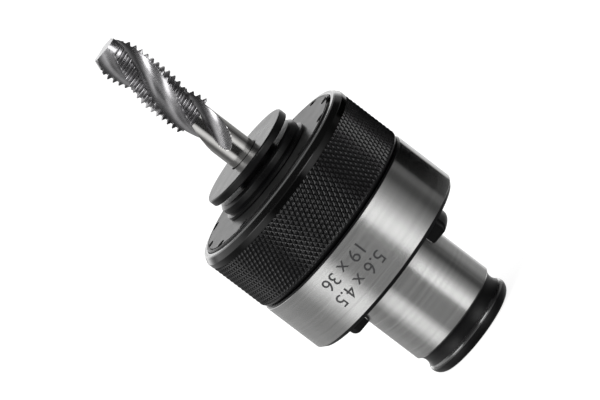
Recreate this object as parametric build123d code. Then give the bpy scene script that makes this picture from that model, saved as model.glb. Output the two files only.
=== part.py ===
from build123d import *
import math
import os

# Quick-change tapping collet with a safety clutch, and the spiral-flute tap that it holds.
# Millimetres. +Z runs along the tool axis from the shank end to the tap's point.
# The origin is the centre of the rear end face, and the collet stands on that face.

# Fits: radial ones for shafts and threads, axial ones for pieces that turn or slide
run_fit = 0.03
thread_fit = 0.05
ball_fit = 0.02
end_play = 0.05

# Shank with its ball-lock groove
shank_r = 9.5
shank_length = 19.05
shank_relief = 0.02
rear_round = 1.7
rear_rim = 0.3
groove_depth = 0.7
groove_arc_r = 1.9
groove_round = 0.8
groove_z = 3.58

# Drum, and the threaded neck inside the knurled ring
drum_r = 18.0
drum_length = 11.6
drum_rear_chamfer = 0.75
drum_front_chamfer = 0.3
neck_length = 4.0
neck_wall = 2.15
floor_thickness = 3.55

# Drive lugs on the drum's rear face
lug_length = 3.57
lug_width = 8.0
lug_r = 12.75
lug_round = 1.2
lug_side_round = 0.8

# Knurled ring, threaded right through
ring_step = 0.1
ring_wall = 1.6
ring_length = 13.35
ring_rear_lip = 1.4
ring_rear_drop = 0.9
ring_front_lip = 1.2
ring_front_drop = 0.9
ring_edge_round = 0.25
ring_bore_chamfer = 0.15
ring_line_width = 0.3
ring_line_depth = 0.25
ring_line_setback = 2.45

# Clutch: balls in the holder's flange, pockets in the drum's floor
ball_r = 2.0
ball_count = 12
flange_rim = 0.9
pocket_depth = 0.8
flange_gap = 1.0
flange_clearance = 0.22
race_depth = 0.35
plate_thickness = 2.5

# Disc springs between the pressure plate and the spring seat
disc_count = 6
disc_thickness = 1.0
disc_gap = 0.25
seat_thickness = 1.2

# Adjusting nut with its spanner notches
nut_stand = 0.3
nut_thickness = 4.7
nut_bore_gap = 0.35
notch_count = 12
notch_width = 2.2
notch_length = 1.9
notch_depth = 1.7
notch_phase = 9.0
lock_wire_r = 0.32
lock_wire_gap_angle = 14.0
lock_tail_length = 1.4

# Tap holder: tail in the shank, flange, barrel and nose
tail_r = 5.5
tail_land = 1.0
tail_chamfer = 0.4
rear_hole_r = 2.2
barrel_r = 7.0
nose_wall = 1.07
socket_fit = 0.03
snap_groove_depth = 0.3
snap_thickness = 1.0
snap_height = 1.2
snap_gap_angle = 50.0
counterbore_gap = 1.3
counterbore_depth = 3.6
thrust_thickness = 0.5
thrust_gap = 0.2

# Release collar and sleeve round the nose
collar_gap = 0.05
collar_length = 2.6
collar_flange_r = 9.96
collar_flange_width = 0.55
collar_nose_r = 9.5
collar_dip = 0.15
collar_chamfer = 0.5
collar_edge_round = 0.1
collar_wall = 1.0
spigot_step = 0.76
spigot_length = 3.35
release_gap = 0.9
release_travel = 0.85
sleeve_disc_r = 9.66
sleeve_disc_thickness = 1.4
sleeve_front_round = 0.3
sleeve_rear_round = 0.15
sleeve_neck_r = 4.67
sleeve_lip = 0.5
sleeve_hole_gap = 0.2
sleeve_countersink = 0.15
skirt_r = 5.85
skirt_length = 4.98
pocket_length = 13.0
release_wire_r = 0.4
release_turns = 5

# Balls that grip the tap's shank
clamp_ball_r = 0.9
clamp_ball_count = 3
clamp_ball_setback = 2.4
clamp_cone_slope = 0.5

# Tap
tap_shank_r = 2.8
tap_square = 4.5
tap_square_length = 7.0
tap_length = 66.0
tap_reach = 30.75
tap_thread_r = 3.75
tap_thread_length = 19.0
tap_core_r = 1.9
tap_point_r = 2.6
tap_lead_length = 3.0
tap_flutes = 3
flute_arc_r = 3.0
flute_helix_lead = 40.0
flute_phase = 149.5
flute_length = 22.6
flute_wheel_r = 9.0
flute_overrun = 1.0

# Places along the axis, worked out from the rear end face
thrust_rear_z = counterbore_depth - thrust_thickness
snap_groove_z = thrust_rear_z - snap_thickness - 2 * end_play
tail_rear_z = snap_groove_z - tail_land
drum_rear_z = shank_length
lug_rear_z = drum_rear_z - lug_length
drum_front_z = drum_rear_z + drum_length
neck_front_z = drum_front_z + neck_length
floor_z = drum_rear_z + floor_thickness
ring_front_z = drum_front_z + ring_length
nut_front_z = ring_front_z + nut_stand
nut_rear_z = nut_front_z - nut_thickness
seat_rear_z = nut_rear_z - seat_thickness
ball_z = floor_z + ball_r - pocket_depth
flange_rear_z = floor_z + end_play
plate_rear_z = ball_z + ball_r + ball_fit - race_depth
flange_front_z = plate_rear_z - flange_clearance
plate_front_z = plate_rear_z + plate_thickness
collar_rear_z = nut_front_z + collar_gap
collar_front_z = collar_rear_z + collar_length
barrel_front_z = collar_front_z - collar_wall
pocket_floor_z = barrel_front_z - pocket_length
sleeve_rear_z = collar_front_z + release_gap
sleeve_front_z = sleeve_rear_z + sleeve_disc_thickness
sleeve_lip_z = sleeve_front_z - sleeve_lip
nose_front_z = sleeve_lip_z - release_travel - end_play
skirt_front_z = barrel_front_z - ball_fit
skirt_rear_z = skirt_front_z - skirt_length
clamp_ball_z = skirt_rear_z + clamp_ball_setback
tap_tip_z = nose_front_z + tap_reach
tap_rear_z = tap_tip_z - tap_length
tap_square_z = tap_rear_z + tap_square_length
tap_thread_z = tap_tip_z - tap_thread_length
flute_runout_z = tap_tip_z - flute_length

# Radii that follow from the fits
groove_floor_r = shank_r - groove_depth
ring_r = drum_r + ring_step
ring_thread_r = ring_r - ring_wall
neck_r = ring_thread_r - thread_fit
cavity_r = neck_r - neck_wall
flange_r = cavity_r - flange_gap
ball_circle_r = flange_r - flange_rim - ball_r
plate_r = cavity_r - 2 * thread_fit
disc_r = cavity_r - disc_gap
tail_bore_r = tail_r + run_fit
counterbore_r = tail_r + counterbore_gap
thrust_r = counterbore_r - thrust_gap
sliding_bore_r = barrel_r + 2 * thread_fit
tap_bore_r = tap_shank_r + run_fit
nose_r = tap_bore_r + nose_wall
sleeve_bore_r = nose_r + thread_fit
sleeve_hole_r = tap_bore_r + sleeve_hole_gap
pocket_r = skirt_r + thread_fit
release_coil_r = (nose_r + pocket_r) / 2
nut_r = ring_thread_r - thread_fit
spigot_r = collar_flange_r - spigot_step
nut_bore_r = spigot_r + nut_bore_gap
clamp_ball_place_r = tap_shank_r + clamp_ball_r + ball_fit


def turned(*points):
    """A solid of revolution from its half section, given as (radius, z) points."""
    return revolve(make_face(Plane.XZ * Polyline(*points, close=True)), Axis.Z)


def ring(inner, outer, low, high):
    """A plain ring, washer or, with no inner radius, a disc."""
    return turned((inner, low), (outer, low), (outer, high), (inner, high))


def rims(solid, radius, height):
    """The full circular edges of a solid at one radius and height."""
    circles = solid.edges().filter_by(GeomType.CIRCLE)
    near = [e for e in circles if abs(e.radius - radius) < 1e-3]
    return [e for e in near if abs(e.arc_center.Z - height) < 1e-3]


def ball(radius, place_r, angle, height):
    """A sphere at a radius, angle and height."""
    x = place_r * math.cos(math.radians(angle))
    y = place_r * math.sin(math.radians(angle))
    return Pos(x, y, height) * Sphere(radius)


def clutch_ball_angles():
    return [i * 360 / ball_count for i in range(ball_count)]


def clamp_ball_angles():
    return [90 + i * 360 / clamp_ball_count for i in range(clamp_ball_count)]


def drive_body():
    """Shank, drive lugs, drum and neck, with the clutch cavity and the holder's bore."""
    body = turned(
        (tail_bore_r, counterbore_depth), (counterbore_r, counterbore_depth), (counterbore_r, 0),
        (shank_r, 0), (shank_r, lug_rear_z), (shank_r - shank_relief, (lug_rear_z + drum_rear_z) / 2),
        (shank_r, drum_rear_z), (drum_r, drum_rear_z), (drum_r, drum_front_z),
        (neck_r, drum_front_z), (neck_r, neck_front_z), (cavity_r, neck_front_z),
        (cavity_r, floor_z), (tail_bore_r, floor_z),
    )
    body = fillet(rims(body, shank_r, 0), min(rear_round, shank_r - counterbore_r - rear_rim))
    body = chamfer(rims(body, drum_r, drum_rear_z), drum_rear_chamfer)
    body = chamfer(rims(body, drum_r, drum_front_z), drum_front_chamfer)
    body -= Pos(0, 0, groove_z) * Torus(groove_floor_r + groove_arc_r, groove_arc_r)
    groove_half = math.sqrt(groove_arc_r**2 - (groove_arc_r - groove_depth) ** 2)
    body = fillet(rims(body, shank_r, groove_z - groove_half), groove_round)
    for side in (0, 180):
        body += Rot(0, 0, side) * drive_lug()
    for angle in clutch_ball_angles():
        body -= ball(ball_r + ball_fit, ball_circle_r, angle, ball_z)
    return body


def drive_lug():
    """A dog on the drum's rear face, with a round outer face and rounded free edges."""
    depth = lug_length + drum_rear_chamfer
    block = Pos(lug_r / 2, 0, lug_rear_z + depth / 2) * Box(lug_r, lug_width, depth)
    lug = block & Pos(0, 0, drum_rear_z) * Cylinder(lug_r, 2 * lug_length)
    outer = [e for e in lug.edges() if e.center().X > lug_r * 0.8]
    free = [e for e in outer if e.center().Z < drum_rear_z - lug_length / 4]
    lug = fillet(free, lug_round)
    sides = [e for e in lug.edges().filter_by(Axis.X) if e.center().Z < lug_rear_z + lug_length / 4]
    lug = fillet(sides, lug_side_round)
    return lug - Pos(0, 0, drum_rear_z) * Cylinder(shank_r - run_fit, 4 * lug_length)


def knurled_ring():
    """Housing ring: rounded rear lip, smooth front band and rounded front lip, threaded through."""
    rear, front = drum_front_z, ring_front_z
    lip_low = (ring_r - ring_rear_drop, rear)
    lip_high = (ring_r, rear + ring_rear_lip)
    nose_low = (ring_r, front - ring_front_lip)
    nose_high = (ring_r - ring_front_drop, front)
    outline = [
        RadiusArc(lip_low, lip_high, -1.4 * ring_rear_lip),
        Polyline(lip_high, nose_low, nose_high, (ring_thread_r, front), (ring_thread_r, rear), lip_low),
    ]
    body = revolve(make_face(Plane.XZ * Wire(Curve(outline).edges())), Axis.Z)
    edges = rims(body, ring_r, front - ring_front_lip) + rims(body, ring_r - ring_front_drop, front)
    body = fillet(edges, ring_edge_round)
    body = chamfer(rims(body, ring_thread_r, front), ring_bore_chamfer)
    line_z = front - ring_line_setback
    line_r = ring_r - ring_line_depth
    return body - ring(line_r, ring_r + 1, line_z - ring_line_width / 2, line_z + ring_line_width / 2)


def clutch_balls():
    """The clutch's balls, one group."""
    return Compound([ball(ball_r, ball_circle_r, a, ball_z) for a in clutch_ball_angles()])


def pressure_plate():
    """Plate with a ball race, guided in the cavity and on the barrel."""
    plate = ring(sliding_bore_r, plate_r, plate_rear_z, plate_front_z)
    return plate - Pos(0, 0, ball_z) * Torus(ball_circle_r, ball_r + ball_fit)


def disc_springs():
    """Coned discs stacked in turn, outer edge first."""
    low = plate_front_z + ball_fit
    height = (seat_rear_z - ball_fit - low) / disc_count
    cone = height - disc_thickness
    discs = []
    for i in range(disc_count):
        base = low + i * height
        inner, outer = (base + cone, base) if i % 2 == 0 else (base, base + cone)
        discs.append(turned(
            (sliding_bore_r, inner), (disc_r, outer),
            (disc_r, outer + disc_thickness), (sliding_bore_r, inner + disc_thickness),
        ))
    return discs


def adjusting_nut():
    """Threaded ring with spanner notches, and a step for the lock ring round its front edge."""
    step = 2 * lock_wire_r + thread_fit
    nut = ring(nut_bore_r, nut_r, nut_rear_z, nut_front_z)
    nut -= ring(nut_r - step, nut_r + 1, nut_front_z - step, nut_front_z + 1)
    notch = Box(notch_length, notch_width, 2 * notch_depth)
    notch = fillet(notch.edges().filter_by(Axis.Z).group_by(Axis.X)[0], notch_width * 0.4)
    reach = nut_r - notch_length / 2 + thread_fit
    for i in range(notch_count):
        nut -= Rot(0, 0, notch_phase + i * 360 / notch_count) * Pos(reach, 0, nut_front_z) * notch
    return nut


def nut_lock_ring():
    """Open wire ring in the nut's step, with its tail bent into a notch."""
    wire_ring_r = nut_r - lock_wire_r - thread_fit / 2
    z = nut_front_z - lock_wire_r - thread_fit / 2
    section = Pos(wire_ring_r, 0, z) * (Plane.XZ * Circle(lock_wire_r))
    loop = revolve(section, Axis.Z, 360 - lock_wire_gap_angle)
    tail_start = Pos(wire_ring_r, 0, z) * (Plane.YZ * Circle(lock_wire_r))
    tail = extrude(tail_start, -lock_tail_length)
    wire = loop + tail + Pos(wire_ring_r, 0, z) * Sphere(lock_wire_r)
    return Rot(0, 0, notch_phase) * wire


def tap_holder():
    """Tail, clutch flange, barrel and nose in one piece, bored for the tap and its square."""
    snap_r = tail_r - snap_groove_depth
    snap_front = snap_groove_z + snap_thickness + end_play
    hub = turned(
        (rear_hole_r, tail_rear_z), (tail_r - tail_chamfer, tail_rear_z),
        (tail_r, tail_rear_z + tail_chamfer), (tail_r, snap_groove_z), (snap_r, snap_groove_z),
        (snap_r, snap_front), (tail_r, snap_front), (tail_r, flange_rear_z),
        (flange_r, flange_rear_z), (flange_r, flange_front_z), (barrel_r, flange_front_z),
        (barrel_r, barrel_front_z), (pocket_r, barrel_front_z), (pocket_r, pocket_floor_z),
        (nose_r, pocket_floor_z), (nose_r, nose_front_z), (tap_bore_r, nose_front_z),
        (tap_bore_r, tap_square_z), (rear_hole_r, tap_square_z),
    )
    socket_side = tap_square + 2 * socket_fit
    socket_length = tap_square_length + 2 * end_play
    socket_z = tap_square_z + end_play - socket_length / 2
    hub -= Pos(0, 0, socket_z) * Box(socket_side, socket_side, socket_length)
    for angle in clutch_ball_angles():
        hub -= ball_hole(ball_r + ball_fit, ball_circle_r, angle)
    for angle in clamp_ball_angles():
        seat = ball(clamp_ball_r + ball_fit, clamp_ball_place_r, angle, clamp_ball_z)
        hub -= seat + clamp_hole(angle)
    return hub


def ball_hole(radius, place_r, angle):
    """A hole along Z through the clutch flange."""
    hole = Pos(place_r, 0, ball_z) * Cylinder(radius, 4 * ball_r)
    return Rot(0, 0, angle) * hole


def clamp_hole(angle):
    """The radial way out of a clamp ball through the nose's wall."""
    way = Pos(clamp_ball_place_r + 1, 0, 0) * Rot(0, 90, 0) * Cylinder(clamp_ball_r + ball_fit, 2)
    return Rot(0, 0, angle) * Pos(0, 0, clamp_ball_z) * way


def hub_snap_ring():
    """Open flat ring in the tail's groove."""
    inner = tail_r - snap_groove_depth + run_fit
    low = snap_groove_z + end_play / 2
    section = Plane.XZ * Pos(inner + snap_height / 2, low + snap_thickness / 2)
    section *= Rectangle(snap_height, snap_thickness)
    return Rot(0, 0, snap_gap_angle / 2) * revolve(section, Axis.Z, 360 - snap_gap_angle)


def front_collar():
    """Cap screwed on the barrel: spigot in the nut, rear flange, slight dip and front wall."""
    bore_r = barrel_r + run_fit
    dip_r = collar_nose_r - collar_dip
    flange_front = collar_rear_z + collar_flange_width
    collar = turned(
        (bore_r, collar_rear_z - spigot_length), (spigot_r, collar_rear_z - spigot_length),
        (spigot_r, collar_rear_z), (collar_flange_r, collar_rear_z),
        (collar_flange_r, flange_front), (dip_r, flange_front + collar_dip),
        (collar_nose_r, flange_front + 4 * collar_dip), (collar_nose_r, collar_front_z),
        (sleeve_neck_r + thread_fit, collar_front_z), (sleeve_neck_r + thread_fit, barrel_front_z),
        (bore_r, barrel_front_z),
    )
    collar = chamfer(rims(collar, collar_nose_r, collar_front_z), collar_chamfer)
    edges = rims(collar, collar_nose_r, collar_front_z - collar_chamfer)
    edges += rims(collar, collar_nose_r - collar_chamfer, collar_front_z)
    collar = fillet(edges, collar_edge_round)
    return fillet(rims(collar, collar_flange_r, collar_rear_z), collar_flange_width / 3)


def release_sleeve():
    """Front disc, neck and skirt, with the cone inside that holds the clamp balls in."""
    lean = math.atan(clamp_cone_slope)
    reach = clamp_ball_r + ball_fit
    cone_r = clamp_ball_place_r + reach * math.cos(lean)
    cone_z = clamp_ball_z - reach * math.sin(lean)
    ball_room_r = clamp_ball_place_r + reach + clamp_cone_slope * release_travel + run_fit
    cone_start_z = cone_z - (cone_r - sleeve_bore_r) / clamp_cone_slope
    cone_end_z = cone_z + (ball_room_r - cone_r) / clamp_cone_slope
    room_end_z = clamp_ball_z + release_travel + reach + end_play
    sleeve = turned(
        (sleeve_bore_r, skirt_rear_z), (skirt_r, skirt_rear_z), (skirt_r, skirt_front_z),
        (sleeve_neck_r, skirt_front_z), (sleeve_neck_r, sleeve_rear_z),
        (sleeve_disc_r, sleeve_rear_z), (sleeve_disc_r, sleeve_front_z),
        (sleeve_hole_r, sleeve_front_z), (sleeve_hole_r, sleeve_lip_z),
        (sleeve_bore_r, sleeve_lip_z), (sleeve_bore_r, room_end_z),
        (ball_room_r, room_end_z), (ball_room_r, cone_end_z), (sleeve_bore_r, cone_start_z),
    )
    sleeve = fillet(rims(sleeve, sleeve_disc_r, sleeve_front_z), sleeve_front_round)
    sleeve = fillet(rims(sleeve, sleeve_disc_r, sleeve_rear_z), sleeve_rear_round)
    return chamfer(rims(sleeve, sleeve_hole_r, sleeve_front_z), sleeve_countersink)


def release_spring():
    """Coil spring in the barrel's pocket, from the pocket's floor to the skirt."""
    margin = release_wire_r + ball_fit
    height = skirt_rear_z - pocket_floor_z - 2 * margin
    start = Vector(release_coil_r, 0, pocket_floor_z + margin)
    path = Helix(height / release_turns, height, release_coil_r, center=(0, 0, start.Z))
    section = Plane(start, z_dir=path % 0) * Circle(release_wire_r)
    return sweep(section, path=path, is_frenet=True)


def tap():
    """Tap with a square, plain shank and thread stretch, three spiral flutes and their run-outs."""
    blank = turned(
        (0, tap_rear_z), (tap_shank_r, tap_rear_z), (tap_shank_r, tap_thread_z),
        (tap_thread_r, tap_thread_z), (tap_thread_r, tap_tip_z - tap_lead_length),
        (tap_point_r, tap_tip_z), (0, tap_tip_z),
    )
    square = Pos(0, 0, tap_square_z - tap_square_length / 2)
    square *= Box(tap_square, tap_square, tap_square_length)
    blank -= ring(0, 2 * tap_shank_r, tap_rear_z, tap_square_z) - square
    for i in range(tap_flutes):
        blank -= Rot(0, 0, flute_phase + i * 360 / tap_flutes) * flute_cutter()
    return blank


def flute_cutter():
    """A twisted round bar with its axis outside the core, and the grinding wheel's run-out."""
    length = tap_tip_z - flute_runout_z
    cut = length + flute_overrun
    offset = tap_core_r + flute_arc_r
    section = Pos(offset, 0, flute_runout_z) * Circle(flute_arc_r)
    bar = Solid.extrude_linear_with_rotation(
        section.face(), (0, 0, flute_runout_z), (0, 0, cut), 360 * cut / flute_helix_lead
    )
    wheel = Pos(offset + flute_wheel_r, 0, 0) * Rot(90, 0, 0) * Torus(flute_wheel_r, flute_arc_r)
    wheel &= Pos(0, 0, -flute_wheel_r) * Box(4 * flute_wheel_r, 4 * flute_wheel_r, 2 * flute_wheel_r)
    cutter = bar + Pos(0, 0, flute_runout_z) * wheel
    return Rot(0, 0, -360 * length / flute_helix_lead) * cutter


def write(name, solid):
    solid.label = name
    export_step(solid, f"parts/{name}.step")


def main():
    os.makedirs("parts", exist_ok=True)
    write("drive_body", drive_body())
    write("knurled_ring", knurled_ring())
    write("clutch_balls", clutch_balls())
    write("pressure_plate", pressure_plate())
    for i, disc in enumerate(disc_springs()):
        write(f"disc_spring_{i + 1}", disc)
    write("spring_seat", ring(sliding_bore_r, plate_r, seat_rear_z, nut_rear_z))
    write("adjusting_nut", adjusting_nut())
    write("nut_lock_ring", nut_lock_ring())
    write("tap_holder", tap_holder())
    write("hub_snap_ring", hub_snap_ring())
    write("hub_thrust_washer", ring(tail_bore_r, thrust_r, thrust_rear_z, counterbore_depth))
    write("front_collar", front_collar())
    write("release_sleeve", release_sleeve())
    write("release_spring", release_spring())
    for i, angle in enumerate(clamp_ball_angles()):
        write(f"clamp_ball_{i + 1}", ball(clamp_ball_r, clamp_ball_place_r, angle, clamp_ball_z))
    write("tap", tap())


main()
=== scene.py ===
import math

import bmesh
import bpy
from mathutils import Matrix, Vector


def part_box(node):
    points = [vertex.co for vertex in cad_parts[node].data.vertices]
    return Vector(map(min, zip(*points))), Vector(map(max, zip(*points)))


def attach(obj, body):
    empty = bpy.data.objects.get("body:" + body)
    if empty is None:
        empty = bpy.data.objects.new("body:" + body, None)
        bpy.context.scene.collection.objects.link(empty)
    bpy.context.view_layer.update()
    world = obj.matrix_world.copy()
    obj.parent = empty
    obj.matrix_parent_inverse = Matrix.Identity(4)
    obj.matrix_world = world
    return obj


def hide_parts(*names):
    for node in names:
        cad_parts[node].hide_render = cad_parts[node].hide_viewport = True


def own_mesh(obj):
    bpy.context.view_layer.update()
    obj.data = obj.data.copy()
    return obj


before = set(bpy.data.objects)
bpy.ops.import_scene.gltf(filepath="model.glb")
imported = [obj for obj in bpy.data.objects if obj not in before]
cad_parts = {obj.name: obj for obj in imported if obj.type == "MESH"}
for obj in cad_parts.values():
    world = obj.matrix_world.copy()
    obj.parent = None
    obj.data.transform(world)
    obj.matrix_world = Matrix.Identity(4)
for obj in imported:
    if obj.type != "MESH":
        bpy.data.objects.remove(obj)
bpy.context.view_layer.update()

MM = 0.001

# The photograph's view: a long lens, rolled until the tool lies from lower right to upper left
VIEW_AZIMUTH = math.radians(15)
VIEW_ELEVATION = math.radians(9.5)
VIEW_ROLL = math.radians(52.75)
VIEW_DISTANCE = 1100 * MM
VIEW_HEIGHT = 37.1 * MM
VIEW_OFFSET = 0.33 * MM
PIXELS_PER_MM = 6.005
IMAGE_WIDTH = 600

# The colour Mix node's inputs
SHARE, FROM, TO = 0, 6, 7

# The knurled ring, as the solids have it, with a rounded rear rim and a bevelled front lip
RING_REAR, RING_FRONT = (corner.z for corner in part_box("knurled_ring"))
RING_R = 18.1 * MM
RING_BORE_R = 16.5 * MM
REAR_RIM_LENGTH = 1.1 * MM
REAR_RIM_DEPTH = 0.9 * MM
REAR_RIM_ROUND = 1.6 * MM
LIP_LENGTH = 1.2 * MM
LIP_DEPTH = 0.7 * MM
LIP_REAR_ROUND = 0.35 * MM
LIP_FRONT_ROUND = 0.25 * MM
MOUTH_CHAMFER = 0.15 * MM

# Diamond knurl of 0.8 mm pitch at 30 degrees, its flanks steep enough to leave a small flat on each crest
KNURL_COUNT = 122
KNURL_LENGTH = 1.575 * MM
KNURL_DEPTH = 0.25 * MM
KNURL_FLANK = 1.35
KNURL_START = RING_REAR + 1.15 * MM
KNURL_END = RING_REAR + 10.95 * MM
KNURL_STEPS = 4

# The turned line in front of the knurl, its depth and its distances from the knurl's end
LINE_DEPTH = 0.25 * MM
LINE_START = 0.02 * MM
LINE_FLOOR_END = 0.15 * MM
LINE_END = 0.22 * MM

# The tap: a square, a plain shank, three right-hand flutes and a coarse thread
TAP_REAR, TAP_TIP = (corner.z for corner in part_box("tap"))
TAP_SHANK_R = 2.8 * MM
TAP_SQUARE = 4.5 * MM
TAP_SQUARE_LENGTH = 7.0 * MM
TAP_SQUARE_CHAMFER = 0.3 * MM
TAP_THREAD_R = 3.75 * MM
TAP_PITCH = 1.13 * MM
TAP_THREAD_REAR = TAP_TIP - 19.0 * MM
TAP_LEAD_LENGTH = 3.0 * MM
TAP_POINT_R = 2.6 * MM
TAP_CORE_R = 1.9 * MM
FLUTES = 3
FLUTE_FACE_R = 3.0 * MM
FLUTE_HEEL_R = 4.2 * MM
FLUTE_FACE_EDGE = -37.7
FLUTE_HEEL_EDGE = 42.7
FLUTE_LEAD = 42.2 * MM
FLUTE_REAR = TAP_TIP - 22.6 * MM
FLUTE_WHEEL_R = 9.0 * MM
FLUTE_TIP_ANGLE = math.radians(139.1)

# The thread's 60 degree shape, in shares of its pitch: half of its crest, one flank, and its depth
HALF_CREST = 1 / 16
FLANK = 5 / 16
THREAD_DEPTH = 0.541

# How fine the tap's grid is
FLUTE_COLUMNS = 24
LAND_COLUMNS = 16
SHANK_ROWS = 60
THREAD_ROWS_PER_PITCH = 12

# How far the grid keeps off a flute's edge, in degrees, and how far behind the flutes its twist starts
LAND_MARGIN = 0.6
TWIST_MARGIN = 0.5 * MM

# What is ground bright on the drive body: the shank between its radii and heights, and the drum
GROUND_SHANK_R = (9.25 * MM, 9.54 * MM)
GROUND_SHANK_Z = (4.8 * MM, 19.03 * MM)
GROUND_DRUM_R = 17.95 * MM

# The rubbed crest of the bead behind the ball groove
BEAD_CREST_Z = 2.1 * MM
BEAD_HALF_WIDTH = 0.35 * MM

# What is cut on the tap, and not ground: all inside this radius or in the thread, and past this height
GROUND_TAP_R = TAP_SHANK_R - 0.02 * MM
CUT_TAP_START = FLUTE_REAR - 5 * MM

# Where the knurled ring's finish changes to the turned lip's, and how deep the wear on the crests goes
LIP_FINISH_START = KNURL_END + 0.05 * MM
WEAR_DEPTH = 0.15 * MM

# The front face's two edges, rubbed to the steel and painted lighter as a highlight: their radii, how far it
# reaches and where it is whole
RUBBED_AND_HIGHLIT_EDGES_R = (RING_R - LIP_DEPTH, RING_BORE_R + 0.1 * MM)
RUB_AND_HIGHLIGHT_REACH = 0.3 * MM
RUB_AND_HIGHLIGHT_CORE = 0.12 * MM

# The ground drum, and two lines of plain figures marked on it: its tap sizes, and its shank and drum
DRUM_R = 18.0 * MM
MARK_HEIGHT = 2.35 * MM
MARK_DEPTH = 0.03 * MM
MARK_STRIP = 0.5 * MM
MARK_ANGLE = math.radians(-90.5)
MARKS = [("tap_size_mark", "5.6 x 4.5", 23.9 * MM), ("body_size_mark", "19 x 36", 27.3 * MM)]

# Grinding and turning lines, really about 0.03 mm wide, are drawn coarse enough to show
CUT_LINE_WIDTH = 0.4 * MM
CUT_LINE_RUN = 25 * MM

# How wide the soft patches are in the oxide, the knurl's wear, lapped steel, the tap and the marks
OXIDE_PATCH = 2.86 * MM
WEAR_PATCH = 2.22 * MM
LAPPED_PATCH = 2.0 * MM
TOOL_STEEL_PATCH = 1.11 * MM
MARK_PATCH = 0.4 * MM

# Points nearer than this are one
WELD = 0.0004 * MM

# A point this near to a surface or a height is taken to be on it
ON_IT = 0.001 * MM


def new_object(name, data):
    """An object in the scene for a mesh, a lamp or a camera."""
    obj = bpy.data.objects.new(name, data)
    bpy.context.scene.collection.objects.link(obj)
    return obj


def object_from(bm, name):
    """The object of a modelled shape."""
    mesh = bpy.data.meshes.new(name)
    bm.to_mesh(mesh)
    bm.free()
    return new_object(name, mesh)


def camera():
    """Long lens at the photograph's angle."""
    azimuth, elevation, roll = VIEW_AZIMUTH, VIEW_ELEVATION, VIEW_ROLL
    back = Vector((math.sin(azimuth) * math.cos(elevation),
                   -math.cos(azimuth) * math.cos(elevation), math.sin(elevation)))
    side = Vector((math.cos(azimuth), math.sin(azimuth), 0))
    up = back.cross(side)
    right = math.cos(roll) * side - math.sin(roll) * up
    top = math.sin(roll) * side + math.cos(roll) * up
    data = bpy.data.cameras.new("camera")
    data.sensor_width = 36
    data.lens = PIXELS_PER_MM * VIEW_DISTANCE / MM * data.sensor_width / IMAGE_WIDTH
    data.clip_start, data.clip_end = 0.01, 20
    obj = new_object("camera", data)
    place = Vector((0, 0, VIEW_HEIGHT)) - VIEW_OFFSET * side + VIEW_DISTANCE * back
    obj.matrix_world = Matrix.Translation(place) @ Matrix((right, top, back)).transposed().to_4x4()
    bpy.context.scene.camera = obj


def finished(bm, name, body, slot, *nodes):
    """The object of a modelled piece, riding on its body and standing for its nodes."""
    bmesh.ops.remove_doubles(bm, verts=bm.verts, dist=WELD)
    bmesh.ops.recalc_face_normals(bm, faces=bm.faces)
    obj = object_from(bm, name)
    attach(obj, body)
    if nodes:
        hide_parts(*nodes)
    return obj


def squeeze(springs):
    """Each spring in a stack, which a joint closes towards its fixed end, gets its own copy of its mesh."""
    for name in springs:
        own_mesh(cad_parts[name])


def spun(profile, steps):
    """A closed ring turned about Z from a closed half section of (radius, height) points."""
    bm = bmesh.new()
    verts = [bm.verts.new((r, 0, z)) for r, z in profile]
    edges = [bm.edges.new((a, b)) for a, b in zip(verts, verts[1:] + verts[:1])]
    bmesh.ops.spin(bm, geom=verts + edges, cent=(0, 0, 0), axis=(0, 0, 1), angle=math.tau,
                   steps=steps, use_merge=True)
    return bm


def bulge(start, end, radius, steps):
    """Points of an arc between two profile points, crowned away from the axis."""
    a, b = Vector(start), Vector(end)
    chord = b - a
    rise = math.sqrt(radius ** 2 - (chord.length / 2) ** 2)
    normal = Vector((chord.y, -chord.x)).normalized()
    centre = (a + b) / 2 - normal * rise
    first = math.atan2(a.y - centre.y, a.x - centre.x)
    last = math.atan2(b.y - centre.y, b.x - centre.x)
    return [(centre.x + radius * math.cos(first + (last - first) * i / steps),
             centre.y + radius * math.sin(first + (last - first) * i / steps))
            for i in range(steps + 1)]


def rounded(before, corner, after, radius, steps=3):
    """Points of the arc that rounds one corner of a profile."""
    corner = Vector(corner)
    back, ahead = ((Vector(point) - corner).normalized() for point in (before, after))
    half = back.angle(ahead) / 2
    centre = corner + (back + ahead).normalized() * radius / math.sin(half)
    start, end = (corner + leg * radius / math.tan(half) - centre for leg in (back, ahead))
    return [tuple(centre + radius * start.lerp(end, i / steps).normalized()) for i in range(steps + 1)]


def knurl_height(angle, z):
    """Height of the diamond pattern, 0 in a groove and 1 on a crest."""
    around = KNURL_COUNT * angle / math.tau
    along = (z - KNURL_START) / KNURL_LENGTH
    heights = [2 * abs(u - round(u)) for u in (around + along, around - along)]
    return min(1, KNURL_FLANK * min(heights))


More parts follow.
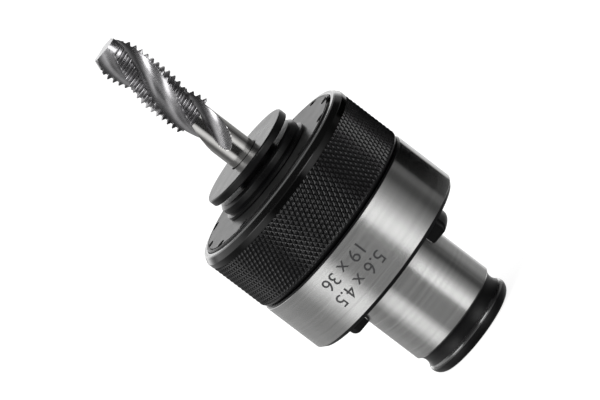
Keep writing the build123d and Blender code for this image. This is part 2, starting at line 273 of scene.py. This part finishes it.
def knurled_ring():
    """Ring with a rounded rear rim, the knurl, a turned line, a smooth band and a bevelled lip."""
    step = KNURL_LENGTH / KNURL_STEPS
    rows = round((KNURL_END - KNURL_START) / step)
    line = KNURL_START + rows * step
    profile = [(RING_BORE_R, RING_REAR)]
    profile += bulge((RING_R - REAR_RIM_DEPTH, RING_REAR), (RING_R, RING_REAR + REAR_RIM_LENGTH),
                     REAR_RIM_ROUND, steps=5)
    profile += [(RING_R, KNURL_START + i * step) for i in range(rows + 1)]
    profile += [(RING_R - LINE_DEPTH, line + LINE_START), (RING_R - LINE_DEPTH, line + LINE_FLOOR_END),
                (RING_R, line + LINE_END)]
    lip = [(RING_R, line + LINE_END), (RING_R, RING_FRONT - LIP_LENGTH), (RING_R - LIP_DEPTH, RING_FRONT),
           (RING_BORE_R + MOUTH_CHAMFER, RING_FRONT), (RING_BORE_R, RING_FRONT - MOUTH_CHAMFER)]
    profile += rounded(*lip[0:3], LIP_REAR_ROUND) + rounded(*lip[1:4], LIP_FRONT_ROUND) + lip[3:]
    bm = spun(profile, KNURL_COUNT * KNURL_STEPS)
    grooves = []
    for vert in bm.verts:
        radius = vert.co.xy.length
        inside = KNURL_START - step / 2 < vert.co.z < line + step / 2
        if abs(radius - RING_R) > ON_IT or not inside:
            continue
        height = knurl_height(math.atan2(vert.co.y, vert.co.x), vert.co.z)
        if height < 1e-3:
            grooves.append(vert)
        vert.co.xy *= 1 - KNURL_DEPTH * (1 - height) / radius
    bmesh.ops.connect_verts(bm, verts=grooves)
    return finished(bm, "knurled_ring_shell", "drive", "black_oxide", "knurled_ring")


def flute_radius(angle, core):
    """Distance from the axis to a flute's surface, at an angle from its deepest line.

    It is steep on the side of the cutting face and eases out toward the heel of the next land."""
    arc = FLUTE_FACE_R if angle < 0 else FLUTE_HEEL_R
    middle = core + arc
    reach = arc ** 2 - (middle * math.sin(angle)) ** 2
    if reach < 0 or abs(angle) > math.pi / 2:
        return math.inf
    return middle * math.cos(angle) - math.sqrt(reach)


def thread_radius(phase):
    """Distance from the axis to the thread's surface, at a share of its pitch."""
    down_flank = min(max(abs(phase - round(phase)) - HALF_CREST, 0) / FLANK, 1)
    return TAP_THREAD_R - THREAD_DEPTH * TAP_PITCH * down_flank


def tap():
    """One grid bent round the axis: its columns follow the flutes and its rows the thread."""
    across = FLUTE_HEEL_EDGE - FLUTE_FACE_EDGE
    flute = [FLUTE_FACE_EDGE + across * i / FLUTE_COLUMNS for i in range(FLUTE_COLUMNS + 1)]
    land = [FLUTE_HEEL_EDGE + LAND_MARGIN + (360 / FLUTES - across - 2 * LAND_MARGIN) * i / LAND_COLUMNS
            for i in range(LAND_COLUMNS + 1)]
    columns = [math.radians(a + 360 / FLUTES * k) for k in range(FLUTES) for a in flute + land]
    columns.append(columns[0] + math.tau)
    square_front = TAP_REAR + TAP_SQUARE_LENGTH
    scoop = FLUTE_REAR - math.sqrt(FLUTE_WHEEL_R ** 2 - (FLUTE_WHEEL_R - TAP_SHANK_R + TAP_CORE_R) ** 2)
    twist_start = scoop - TWIST_MARGIN
    flat_rows = [(TAP_REAR, "square end"), (TAP_REAR + TAP_SQUARE_CHAMFER, "square"),
                 (square_front, "square"), (square_front, "shank"), (twist_start, "shank")]
    flat_rows += [(twist_start + (TAP_THREAD_REAR - twist_start) * (i + 1) / SHANK_ROWS, "shank")
                  for i in range(SHANK_ROWS)]
    row_pitch = TAP_PITCH / (1 - TAP_PITCH / FLUTE_LEAD)
    thread_rows = math.ceil(THREAD_ROWS_PER_PITCH * ((TAP_TIP - TAP_THREAD_REAR) / row_pitch + 1)) + 1
    rows = len(flat_rows) + thread_rows

    bm = bmesh.new()
    bmesh.ops.create_grid(bm, x_segments=len(columns) - 1, y_segments=rows - 1, size=0.5)
    for vert in bm.verts:
        column = round((vert.co.x + 0.5) * (len(columns) - 1))
        row = round((vert.co.y + 0.5) * (rows - 1))
        around = columns[column]
        if row < len(flat_rows):
            z, kind = flat_rows[row]
        else:
            kind = "thread"
            turn = (row - len(flat_rows)) / THREAD_ROWS_PER_PITCH - 1 + (around - columns[0]) / math.tau
            z = min(max(TAP_THREAD_REAR + row_pitch * turn, TAP_THREAD_REAR), TAP_TIP)
        angle = around + FLUTE_TIP_ANGLE - math.tau * (TAP_TIP - max(z, twist_start)) / FLUTE_LEAD
        if kind == "thread":
            phase = (z - TAP_THREAD_REAR) / row_pitch - (around - columns[0]) / math.tau
            lead = TAP_POINT_R + (TAP_THREAD_R - TAP_POINT_R) * (TAP_TIP - z) / TAP_LEAD_LENGTH
            outer = min(thread_radius(phase), lead)
        elif kind.startswith("square"):
            outer = min(TAP_SHANK_R, TAP_SQUARE / 2 / max(abs(math.cos(angle)), abs(math.sin(angle))))
            if kind.endswith("end"):
                outer -= TAP_SQUARE_CHAMFER
        else:
            outer = TAP_SHANK_R
        lift = max(FLUTE_REAR - z, 0)
        if lift < FLUTE_WHEEL_R:
            core = TAP_CORE_R + FLUTE_WHEEL_R - math.sqrt(FLUTE_WHEEL_R ** 2 - lift ** 2)
            from_flute = (around + math.pi / FLUTES) % (math.tau / FLUTES) - math.pi / FLUTES
            outer = min(outer, flute_radius(from_flute, core))
        vert.co = (outer * math.cos(angle), outer * math.sin(angle), z)
    bmesh.ops.remove_doubles(bm, verts=bm.verts, dist=WELD)
    for height in (TAP_REAR, TAP_TIP):
        rim = [e for e in bm.edges if e.is_boundary and abs(e.verts[0].co.z - height) < ON_IT]
        bmesh.ops.edgeloop_fill(bm, edges=rim)
    return finished(bm, "tap_body", "tap", "high_speed_steel", "tap")


def linear(code):
    """A linear colour from an sRGB hex code."""
    parts = [int(code[i:i + 2], 16) / 255 for i in (1, 3, 5)]
    return (*[c / 12.92 if c <= 0.04045 else ((c + 0.055) / 1.055) ** 2.4 for c in parts], 1)


def size_mark(name, figures, height):
    """A line of plain figures wrapped round the drum, tops toward the shank."""
    text = bpy.data.curves.new(name, "FONT")
    text.body, text.align_x, text.extrude = figures, "CENTER", MARK_DEPTH
    holder = bpy.data.objects.new(name + "_text", text)
    bm = bmesh.new()
    flat = bpy.data.meshes.new_from_object(holder)
    bm.from_mesh(flat)
    bpy.data.objects.remove(holder)
    bpy.data.meshes.remove(flat)
    low, high = (f(v.co.y for v in bm.verts) for f in (min, max))
    size = MARK_HEIGHT / (high - low)
    for vert in bm.verts:
        vert.co = (vert.co.x * size, (vert.co.y - (low + high) / 2) * size, vert.co.z)
    bmesh.ops.remove_doubles(bm, verts=bm.verts, dist=WELD)
    half = math.ceil(max(v.co.x for v in bm.verts) / MARK_STRIP)
    for i in range(-half, half + 1):
        bmesh.ops.bisect_plane(bm, geom=bm.verts[:] + bm.edges[:] + bm.faces[:],
                               plane_co=(i * MARK_STRIP, 0, 0), plane_no=(1, 0, 0))
    for vert in bm.verts:
        across, up, out = vert.co
        angle = MARK_ANGLE - across / DRUM_R
        vert.co = ((DRUM_R + out) * math.cos(angle), (DRUM_R + out) * math.sin(angle), height - up)
    return finished(bm, name, "drive", "ground_steel")


def add(tree, kind, inputs=(), **settings):
    """A shader node with its settings, input values and links; a linked node gives its output in use."""
    node = tree.nodes.new("ShaderNode" + kind)
    for name, value in settings.items():
        setattr(node, name, value)
    for name, value in dict(inputs).items():
        if isinstance(value, bpy.types.Node):
            value = next(output for output in value.outputs if output.enabled)
        if isinstance(value, bpy.types.NodeSocket):
            tree.links.new(value, node.inputs[name])
        else:
            node.inputs[name].default_value = value
    return node


def empty_tree(holder):
    """The cleared node tree of a material or a world."""
    holder.use_nodes = True
    holder.node_tree.nodes.clear()
    return holder.node_tree


def dress(obj, material):
    """One material all over a piece."""
    obj.data.materials.clear()
    obj.data.materials.append(material)


def material_tree(name):
    """A new material, its empty tree and its Object coordinates."""
    material = bpy.data.materials.new(name)
    tree = empty_tree(material)
    return material, tree, add(tree, "TexCoord").outputs["Object"]


def lay_across(tree, coords):
    """Noise drawn out round the axis, as a grinding wheel or a lathe tool leaves it."""
    stretched = add(tree, "Mapping", {
        "Vector": coords, "Scale": (1 / CUT_LINE_RUN, 1 / CUT_LINE_RUN, 1 / CUT_LINE_WIDTH)})
    return add(tree, "TexNoise", {"Vector": stretched, "Scale": 1.0, "Detail": 4.0})


def from_axis(tree, coords):
    """Distance from the tool axis, and place along it."""
    place = add(tree, "SeparateXYZ", {0: coords})
    flat = add(tree, "CombineXYZ", {"X": place.outputs["X"], "Y": place.outputs["Y"]})
    return add(tree, "VectorMath", {0: flat}, operation="LENGTH").outputs["Value"], place.outputs["Z"]


def ground_and_blackened():
    """Case-hardened steel, oxide blackened all over and then cylindrically ground.

    The ground drum and shank are bright, with fine lines round them that smear reflections along
    the axis. What the wheel does not reach stays satin black, and the crest of the rear bead is
    rubbed shiny."""
    material, tree, coords = material_tree("ground_steel_over_black_oxide")
    radius, z = from_axis(tree, coords)
    ground = 1.0
    for value, limits in ((radius, GROUND_SHANK_R), (z, GROUND_SHANK_Z)):
        for limit, operation in zip(limits, ("GREATER_THAN", "LESS_THAN")):
            test = add(tree, "Math", {0: value, 1: limit}, operation=operation)
            ground = add(tree, "Math", {0: ground, 1: test}, operation="MULTIPLY")
    drum = add(tree, "Math", {0: radius, 1: GROUND_DRUM_R}, operation="GREATER_THAN")
    ground = add(tree, "Math", {0: ground, 1: drum}, operation="MAXIMUM")
    lines = lay_across(tree, coords)
    steel = add(tree, "Mix", {SHARE: lines, FROM: linear("#bdbdbc"), TO: linear("#d6d6d5")}, data_type="RGBA")
    steel_rough = add(tree, "MapRange", {"Value": lines, "To Min": 0.22, "To Max": 0.29})
    bead = add(tree, "Math", {0: z, 1: BEAD_CREST_Z, 2: BEAD_HALF_WIDTH}, operation="COMPARE")
    shader = add(tree, "BsdfPrincipled", {
        "Base Color": add(tree, "Mix", {SHARE: ground, FROM: linear("#0e0e0f"), TO: steel}, data_type="RGBA"),
        "Metallic": ground,
        "Roughness": add(tree, "MapRange", {"Value": ground, "To Min": 0.45, "To Max": steel_rough}),
        "Specular IOR Level": 0.3, "Anisotropic": 0.85,
        "Coat Weight": bead, "Coat IOR": 1.9, "Coat Roughness": 0.16,
        "Tangent": add(tree, "CombineXYZ", {"X": 0.02, "Y": 0.01, "Z": 1.0}),
        "Normal": add(tree, "Bump", {"Height": lines, "Distance": 0.004 * MM, "Strength": 0.5})})
    add(tree, "OutputMaterial", {"Surface": shader})
    return material


def black_oxide(name, dark, light, rough, grain):
    """Turned steel, oxide blackened and oiled: near black with a satin sheen and faint tool lines."""
    material, tree, coords = material_tree(name)
    lines = lay_across(tree, coords)
    cloud = add(tree, "TexNoise", {"Vector": coords, "Scale": 1 / OXIDE_PATCH, "Detail": 3.0})
    shader = add(tree, "BsdfPrincipled", {
        "Base Color": add(tree, "Mix", {SHARE: cloud, FROM: linear(dark), TO: linear(light)},
                          data_type="RGBA"),
        "Roughness": add(tree, "MapRange", {"Value": cloud, "To Min": rough - 0.04, "To Max": rough + 0.05}),
        "IOR": 1.35,
        "Normal": add(tree, "Bump", {"Height": lines, "Distance": grain, "Strength": 0.5})})
    add(tree, "OutputMaterial", {"Surface": shader})
    return material


def worn_knurl():
    """Black oxide on a cut knurl: hands have rubbed the crests lighter and the front rim to the steel, its
    edges painted lighter as a highlight.

    The lip in front of the knurl is turned smooth, and is blacker and shinier."""
    material, tree, coords = material_tree("black_oxide_knurl")
    radius, z = from_axis(tree, coords)
    knurled = add(tree, "Math", {0: z, 1: LIP_FINISH_START}, operation="LESS_THAN")
    crest = add(tree, "MapRange", {"Value": radius, "From Min": RING_R - WEAR_DEPTH, "From Max": RING_R})
    cloud = add(tree, "TexNoise", {"Vector": coords, "Scale": 1 / WEAR_PATCH, "Detail": 4.0})
    patchy = add(tree, "MapRange", {"Value": cloud, "From Min": 0.3, "From Max": 0.75})
    wear = add(tree, "Math", {0: crest, 1: patchy}, operation="MULTIPLY")
    black = add(tree, "Mix", {SHARE: wear, FROM: linear("#0d0d0e"), TO: linear("#323233")}, data_type="RGBA")
    black = add(tree, "Mix", {SHARE: knurled, FROM: linear("#050505"), TO: black}, data_type="RGBA")
    section = add(tree, "CombineXYZ", {"X": radius, "Y": z})
    # The front rim's two edges: rubbed to the steel, and painted lighter and part metallic as a highlight
    # along them
    rub_and_highlight = 0.0
    for edge_r in RUBBED_AND_HIGHLIT_EDGES_R:
        off = add(tree, "VectorMath", {0: section, 1: (edge_r, RING_FRONT, 0)}, operation="DISTANCE")
        near = add(tree, "MapRange", {
            "Value": off.outputs["Value"], "From Min": RUB_AND_HIGHLIGHT_REACH, "From Max": RUB_AND_HIGHLIGHT_CORE})
        rub_and_highlight = add(tree, "Math", {0: rub_and_highlight, 1: near}, operation="MAXIMUM")
    lines = lay_across(tree, coords)
    shader = add(tree, "BsdfPrincipled", {
        # Painted highlight and wear: the rim's edges take a lighter grey and some metallic
        "Base Color": add(tree, "Mix", {SHARE: rub_and_highlight, FROM: black, TO: linear("#6c6c6c")}, data_type="RGBA"),
        "Metallic": add(tree, "Math", {0: rub_and_highlight, 1: 0.4}, operation="MULTIPLY"),
        "Roughness": add(tree, "MapRange", {"Value": knurled, "To Min": 0.15, "To Max": 0.27}),
        "IOR": 1.4,
        "Normal": add(tree, "Bump", {"Height": lines, "Distance": 0.003 * MM, "Strength": 0.5})})
    add(tree, "OutputMaterial", {"Surface": shader})
    return material


def polished_steel(name, dark, light, rough):
    """Ground and lapped steel: bright, with a little unevenness in its shine."""
    material, tree, coords = material_tree(name)
    cloud = add(tree, "TexNoise", {"Vector": coords, "Scale": 1 / LAPPED_PATCH, "Detail": 4.0})
    shader = add(tree, "BsdfPrincipled", {
        "Base Color": add(tree, "Mix", {SHARE: cloud, FROM: linear(dark), TO: linear(light)},
                          data_type="RGBA"),
        "Metallic": 1.0,
        "Roughness": add(tree, "MapRange", {"Value": cloud, "To Min": rough - 0.03, "To Max": rough + 0.05})})
    add(tree, "OutputMaterial", {"Surface": shader})
    return material


def high_speed_steel():
    """High-speed steel: a finely ground, shiny shank, and flutes and thread left duller by the wheel."""
    material, tree, coords = material_tree("high_speed_steel")
    radius, z = from_axis(tree, coords)
    inside = add(tree, "Math", {0: radius, 1: GROUND_TAP_R}, operation="LESS_THAN")
    threaded = add(tree, "Math", {0: z, 1: TAP_THREAD_REAR}, operation="GREATER_THAN")
    fluted = add(tree, "Math", {0: z, 1: CUT_TAP_START}, operation="GREATER_THAN")
    dull = add(tree, "Math", {0: inside, 1: threaded}, operation="MAXIMUM")
    dull = add(tree, "Math", {0: dull, 1: fluted}, operation="MULTIPLY")
    cloud = add(tree, "TexNoise", {"Vector": coords, "Scale": 1 / TOOL_STEEL_PATCH, "Detail": 5.0})
    fine = add(tree, "Mix", {SHARE: cloud, FROM: linear("#b0afad"), TO: linear("#c8c7c5")}, data_type="RGBA")
    cut = add(tree, "Mix", {SHARE: cloud, FROM: linear("#908f92"), TO: linear("#aeadae")}, data_type="RGBA")
    shader = add(tree, "BsdfPrincipled", {
        "Base Color": add(tree, "Mix", {SHARE: dull, FROM: fine, TO: cut}, data_type="RGBA"),
        "Metallic": 1.0,
        "Roughness": add(tree, "MapRange", {"Value": dull, "To Min": 0.13, "To Max": 0.27})})
    add(tree, "OutputMaterial", {"Surface": shader})
    return material


def laser_mark():
    """Annealed laser marking: the steel's own dark oxide, matt and slightly mottled."""
    material, tree, coords = material_tree("laser_mark")
    cloud = add(tree, "TexNoise", {"Vector": coords, "Scale": 1 / MARK_PATCH, "Detail": 2.0})
    shader = add(tree, "BsdfPrincipled", {
        "Base Color": add(tree, "Mix", {SHARE: cloud, FROM: linear("#2a2a2b"), TO: linear("#474748")},
                          data_type="RGBA"),
        "Roughness": add(tree, "MapRange", {"Value": cloud, "To Min": 0.45, "To Max": 0.6})})
    add(tree, "OutputMaterial", {"Surface": shader})
    return material


# What the metal mirrors, from the lowest layer up: degrees round the axis from the lens, and brightness
DEEP_CARDS = [(-180, 0.8), (-160, 0.8), (-142, 0.36), (-118, 0.34), (-101, 0.13), (-96, 0.18), (-92, 0.08),
              (-82, 0.07), (-62, 0.4), (-49, 0.8), (-40, 0.95), (-27, 1.05), (-24, 0.52), (27, 0.52),
              (34, 0.6), (44, 0.7), (60, 0.75), (76, 0.7), (95, 0.6), (117, 0.6), (130, 0.5), (180, 0.36)]
LENS_CARDS = [(-180, 0.8), (-160, 0.8), (-142, 0.36), (-118, 0.34), (-101, 0.13), (-96, 0.18), (-92, 0.08),
              (-82, 0.07), (-62, 0.4), (-49, 0.95), (-36, 1.3), (-25, 1.0), (-20, 0.02), (30, 0.02),
              (37, 0.6), (46, 1.2), (64, 1.2), (76, 0.62), (90, 0.16), (110, 0.2), (130, 0.36), (180, 0.36)]
MIDDLE_CARDS = [(-180, 1.75), (-160, 1.75), (-150, 0.36), (-118, 0.34), (-101, 0.13), (-96, 0.18),
                (-92, 0.08), (-82, 0.07), (-62, 0.4), (-49, 0.8), (-40, 1.0), (-26, 1.1), (-23, 0.6),
                (27, 0.6), (36, 0.8), (48, 0.8), (62, 0.9), (74, 0.6), (95, 0.35), (117, 0.4), (146, 0.5),
                (158, 1.75), (180, 1.75)]
SOFT_BOXES = [(-180, 0.3), (-164, 0.3), (-152, 0.0), (-50, 0.1), (-45, 5.0), (-22, 5.0), (-18, 0.3),
              (38, 0.3), (44, 4.0), (64, 4.0), (78, 1.2), (150, 1.2), (165, 1.0), (180, 0.8)]

# A black backdrop beside the drum, by its angles round the axis from the lens, its distance and heights
BACKDROP_START, BACKDROP_END = -127, -84.5
BACKDROP_R = 40 * MM
BACKDROP_HEIGHTS = (13 * MM, 42 * MM)

# The sines of elevation over which the layers give way to one another, from below
LAYER_EDGES = ((-0.6, -0.5), (-0.29, -0.26), (-0.07, -0.04), (0.21, 0.27), (0.58, 0.66))

# Above and below the layers, what lights dull surfaces, and what the lens itself sees
DIM = (0.12, 0.12, 0.12, 1)
SOFT_GREY = (0.65, 0.65, 0.65, 1)
WHITE = (1, 1, 1, 1)

# The floor's half width in metres, and its own light where the lens sees it
FLOOR_REACH = 3.0
FLOOR_GLOW = 0.85


def ring_of_cards(tree, share, stops):
    """Brightness round the studio from a share of the full turn."""
    ramp = add(tree, "ValToRGB", {"Fac": share})
    elements = ramp.color_ramp.elements
    while len(elements) < len(stops):
        elements.new(0.5)
    for element, (angle, value) in zip(elements, stops):
        element.position = 0.5 + angle / 360
        element.color = (value, value, value, 1)
    return ramp


def seen_straight(tree):
    """1 for what the lens sees without a mirror between."""
    rays = add(tree, "LightPath").outputs
    return add(tree, "Math", {0: rays["Is Camera Ray"], 1: rays["Is Transmission Ray"]}, operation="MAXIMUM")


def studio():
    """White surroundings for the lens, soft grey light, and cards and soft boxes for the metal.

    The lens's own dark patch lies in the narrow layer that a polished cylinder mirrors."""
    world = bpy.data.worlds.new("studio")
    bpy.context.scene.world = world
    tree = empty_tree(world)
    toward = add(tree, "SeparateXYZ", {0: add(tree, "TexCoord").outputs["Generated"]})
    x, y, z = (toward.outputs[axis] for axis in "XYZ")
    turn = add(tree, "Math", {0: y, 1: x}, operation="ARCTAN2")
    lens_angle = VIEW_AZIMUTH - math.pi / 2
    share = add(tree, "Math", {0: turn, 1: -1 / math.tau, 2: lens_angle / math.tau + 0.5},
                operation="MULTIPLY_ADD")
    share = add(tree, "Math", {0: share}, operation="FRACT")
    layers = [ring_of_cards(tree, share, stops)
              for stops in (DEEP_CARDS, LENS_CARDS, MIDDLE_CARDS, SOFT_BOXES)]
    seen = DIM
    for layer, (start, end) in zip(layers + [DIM], LAYER_EDGES):
        step = add(tree, "MapRange", {"Value": z, "From Min": start, "From Max": end})
        seen = add(tree, "Mix", {SHARE: step, FROM: seen, TO: layer}, data_type="RGBA")
    mirrored = add(tree, "LightPath").outputs["Is Glossy Ray"]
    soft = add(tree, "Mix", {SHARE: mirrored, FROM: SOFT_GREY, TO: seen}, data_type="RGBA")
    colour = add(tree, "Mix", {SHARE: seen_straight(tree), FROM: soft, TO: WHITE}, data_type="RGBA")
    add(tree, "OutputWorld", {"Surface": add(tree, "Background", {"Color": colour})})


def black_backdrop():
    """A curved black backdrop beside the drum, that only the drum's ground steel mirrors."""
    bm = bmesh.new()
    side, front = VIEW_AZIMUTH - math.pi / 2 - math.radians(BACKDROP_START), math.radians(BACKDROP_END)
    low, high = (bm.verts.new((BACKDROP_R * math.cos(side), BACKDROP_R * math.sin(side), z))
                 for z in BACKDROP_HEIGHTS)
    bmesh.ops.spin(bm, geom=[low, high, bm.edges.new((low, high))], cent=(0, 0, 0), axis=(0, 0, -1),
                   angle=front - math.radians(BACKDROP_START), steps=10)
    obj = object_from(bm, "black_backdrop")
    obj.visible_camera = obj.visible_diffuse = obj.visible_transmission = obj.visible_shadow = False
    material = bpy.data.materials.new("black_card")
    tree = empty_tree(material)
    add(tree, "OutputMaterial", {"Surface": add(tree, "BsdfDiffuse", {"Color": linear("#000000")})})
    dress(obj, material)


def soft_box(name, azimuth, elevation, distance, width, watts):
    """A square area lamp that faces the middle of the tool, and that the metal does not mirror."""
    lamp = bpy.data.lights.new(name, "AREA")
    lamp.energy, lamp.size = watts, width
    obj = new_object(name, lamp)
    a, e = math.radians(azimuth), math.radians(elevation)
    away = Vector((math.sin(a) * math.cos(e), -math.cos(a) * math.cos(e), math.sin(e)))
    obj.location = Vector((0, 0, VIEW_HEIGHT)) + distance * away
    obj.rotation_euler = (-away).to_track_quat("-Z", "Y").to_euler()
    obj.visible_glossy = False


def floor():
    """A plain white floor under the tool, open to views from below; the metal mirrors the cards instead."""
    bm = bmesh.new()
    bmesh.ops.create_grid(bm, x_segments=1, y_segments=1, size=FLOOR_REACH)
    obj = object_from(bm, "floor")
    obj.visible_glossy = False
    material = bpy.data.materials.new("white_paper")
    tree = empty_tree(material)
    glow = add(tree, "Math", {0: seen_straight(tree), 1: FLOOR_GLOW}, operation="MULTIPLY")
    lit = add(tree, "AddShader", {0: add(tree, "BsdfDiffuse", {"Color": linear("#a0a0a0")}),
                                  1: add(tree, "Emission", {"Strength": glow})})
    below = add(tree, "MixShader", {0: add(tree, "NewGeometry").outputs["Backfacing"], 1: lit,
                                    2: add(tree, "BsdfTransparent")})
    add(tree, "OutputMaterial", {"Surface": below})
    dress(obj, material)


camera()
studio()
floor()
black_backdrop()
soft_box("key_light", azimuth=-35, elevation=45, distance=0.9, width=0.5, watts=6)
two_tone = ground_and_blackened()
blackened = black_oxide("black_oxide", "#060606", "#0c0c0d", 0.28, 0.004 * MM)
bright = polished_steel("ground_steel", "#b4b4b3", "#cfcfce", 0.3)
balls = polished_steel("ball_steel", "#c4c4c4", "#d2d2d2", 0.1)
springs = black_oxide("spring_steel", "#060606", "#0c0c0d", 0.35, 0.002 * MM)
milled = black_oxide("black_oxide_milled", "#1c1c1c", "#292929", 0.34, 0.006 * MM)
FINISHES = {
    "drive_body": two_tone, "tap_holder": bright, "pressure_plate": bright, "spring_seat": bright,
    "hub_thrust_washer": bright, "clutch_balls": balls, "nut_lock_ring": springs,
    "hub_snap_ring": springs, "release_spring": springs, "adjusting_nut": milled,
    "front_collar": blackened, "release_sleeve": blackened,
}
for name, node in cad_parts.items():
    if name.startswith("disc_spring"):
        dress(node, springs)
    elif name.startswith("clamp_ball"):
        dress(node, balls)
    else:
        dress(node, FINISHES.get(name, blackened))
dress(knurled_ring(), worn_knurl())
dress(tap(), high_speed_steel())
marked = laser_mark()
for name, figures, height in MARKS:
    dress(size_mark(name, figures, height), marked)

# The release spring, which closes on its rear end, gets its own mesh
squeeze(["release_spring"])

# The rear half of the disc springs takes up the plate's lift and the front half the nut's travel; each half
# gets its own meshes
squeeze([f"disc_spring_{i}" for i in (1, 2, 3)])
squeeze([f"disc_spring_{i}" for i in (4, 5, 6)])

bpy.context.scene.view_settings.view_transform = "Standard"
